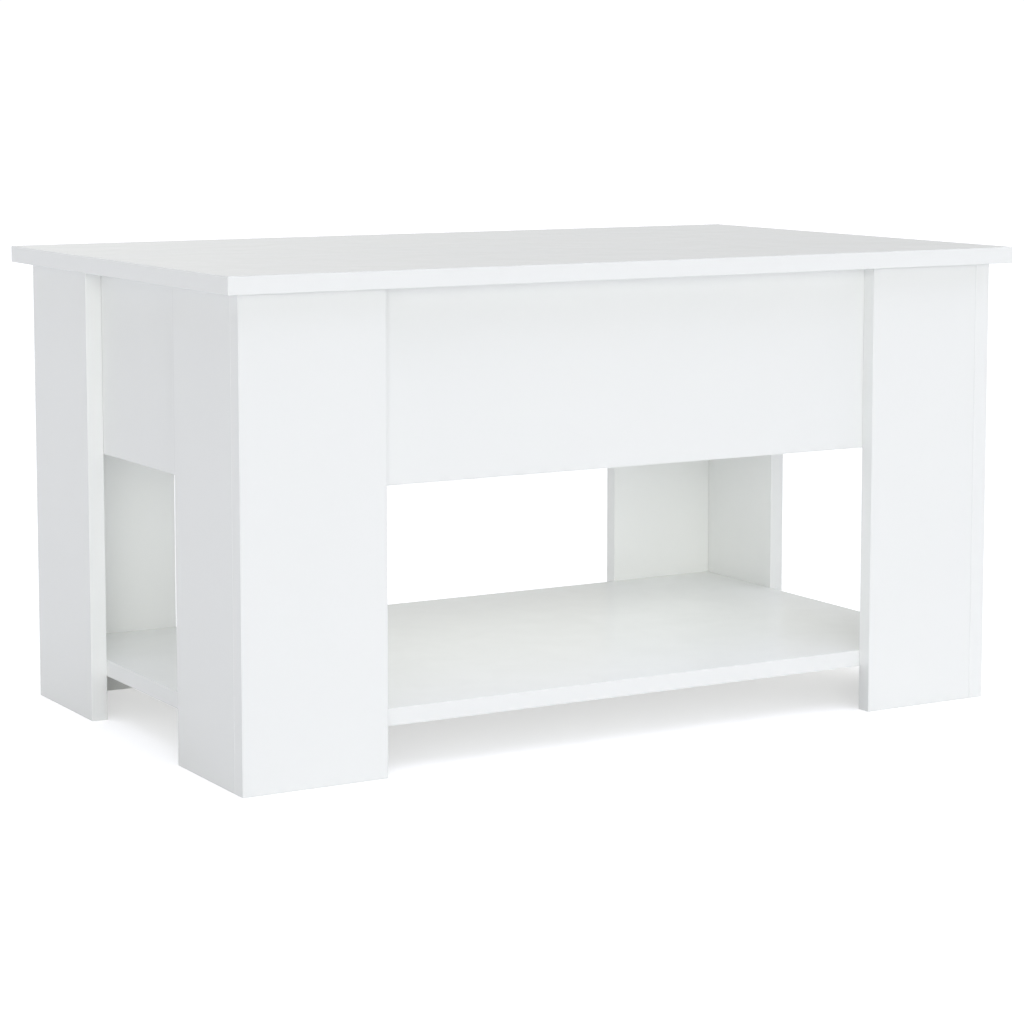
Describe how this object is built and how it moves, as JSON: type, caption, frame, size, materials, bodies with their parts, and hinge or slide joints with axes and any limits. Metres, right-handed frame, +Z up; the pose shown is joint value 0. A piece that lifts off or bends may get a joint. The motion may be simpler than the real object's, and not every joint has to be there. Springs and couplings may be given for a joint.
{
  "type": "lift top coffee table",
  "caption": "White board coffee table on L-shaped legs, with a lower shelf and a top that lifts up and forward on spring arms over a storage box.",
  "frame": {"origin": "on the floor, under the middle of the table", "axes": "+X along the length, to the right when facing the front; -Y is the front, the side the top lifts towards; +Z up"},
  "size_m": [0.79, 0.48, 0.422],
  "materials": {
    "white_board": "white laminated particle board, satin, with white edge band",
    "white_plastic": "moulded white plastic, satin",
    "beech": "fluted raw beech",
    "zinc_casting": "die cast zinc alloy, dull",
    "zinc_steel": "bright zinc plated steel",
    "black_steel": "black powder coat, fine texture",
    "spring_steel": "zinc plated spring wire",
    "nylon": "natural white nylon",
    "black_rubber": "soft black rubber"
  },
  "bodies": {
    "table_frame": {"back_left_leg_back_panel": "white_board", "back_left_leg_side_panel": "white_board", "back_right_leg_back_panel": "white_board", "back_right_leg_side_panel": "white_board", "base_plate_screws": "zinc_steel", "box_back_panel": "white_board", "box_front_panel": "white_board", "box_left_panel": "white_board", "box_right_panel": "white_board", "cam_bolts": "zinc_steel", "cam_cover_caps": "white_plastic", "cam_locks": "zinc_casting", "compartment_floor": "white_board", "front_left_leg_front_panel": "white_board", "front_left_leg_side_panel": "white_board", "front_right_leg_front_panel": "white_board", "front_right_leg_side_panel": "white_board", "left_lift_base_pins": "zinc_steel", "left_lift_base_plate": "black_steel", "left_lift_base_spacers": "nylon", "left_lift_base_washers": "nylon", "left_lift_spring": "spring_steel", "left_lift_spring_anchor": "zinc_steel", "left_lift_stop_bumper": "black_rubber", "leg_screws": "zinc_steel", "lower_shelf": "white_board", "right_lift_base_pins": "zinc_steel", "right_lift_base_plate": "black_steel", "right_lift_base_spacers": "nylon", "right_lift_base_washers": "nylon", "right_lift_spring": "spring_steel", "right_lift_spring_anchor": "zinc_steel", "right_lift_stop_bumper": "black_rubber", "top_bumpers": "black_rubber", "wooden_dowels": "beech"},
    "left_front_arm": {"left_lift_front_arm": "black_steel"},
    "left_rear_arm": {"left_lift_rear_arm": "black_steel", "left_lift_spring_pin": "zinc_steel"},
    "right_front_arm": {"right_lift_front_arm": "black_steel"},
    "right_rear_arm": {"right_lift_rear_arm": "black_steel", "right_lift_spring_pin": "zinc_steel"},
    "lifting_top": {"left_lift_top_pins": "zinc_steel", "left_lift_top_rail": "black_steel", "left_lift_top_washers": "nylon", "rail_screws": "zinc_steel", "right_lift_top_pins": "zinc_steel", "right_lift_top_rail": "black_steel", "right_lift_top_washers": "nylon", "table_top": "white_board"}
  },
  "joints": [
    {"name": "left_front_arm_pivot", "type": "hinge", "parent": "table_frame", "child": "left_front_arm", "pos_m": [-0.34475, -0.062, 0.366], "axis": [1, 0, 0], "range_deg": [0, 114], "stiffness_Nm_per_rad": 1.86, "springref_deg": 114.02},
    {"name": "left_rear_arm_pivot", "type": "hinge", "parent": "table_frame", "child": "left_rear_arm", "pos_m": [-0.34475, -0.01, 0.336], "axis": [1, 0, 0], "range_deg": [0, 114], "deforming": ["left_lift_spring"]},
    {"name": "right_front_arm_pivot", "type": "hinge", "parent": "table_frame", "child": "right_front_arm", "pos_m": [0.34475, -0.062, 0.366], "axis": [1, 0, 0], "range_deg": [0, 114]},
    {"name": "right_rear_arm_pivot", "type": "hinge", "parent": "table_frame", "child": "right_rear_arm", "pos_m": [0.34475, -0.01, 0.336], "axis": [1, 0, 0], "range_deg": [0, 114], "deforming": ["right_lift_spring"]},
    {"name": "top_pivot", "type": "hinge", "parent": "left_front_arm", "child": "lifting_top", "pos_m": [-0.34475, 0.12615, 0.39244], "axis": [1, 0, 0], "range_deg": [-114, 0]}
  ],
  "couplings": [
    {"joint": "left_rear_arm_pivot", "follows": "left_front_arm_pivot", "ratio": 1},
    {"joint": "right_front_arm_pivot", "follows": "left_front_arm_pivot", "ratio": 1},
    {"joint": "right_rear_arm_pivot", "follows": "left_front_arm_pivot", "ratio": 1},
    {"joint": "top_pivot", "follows": "left_front_arm_pivot", "ratio": -1}
  ]
}
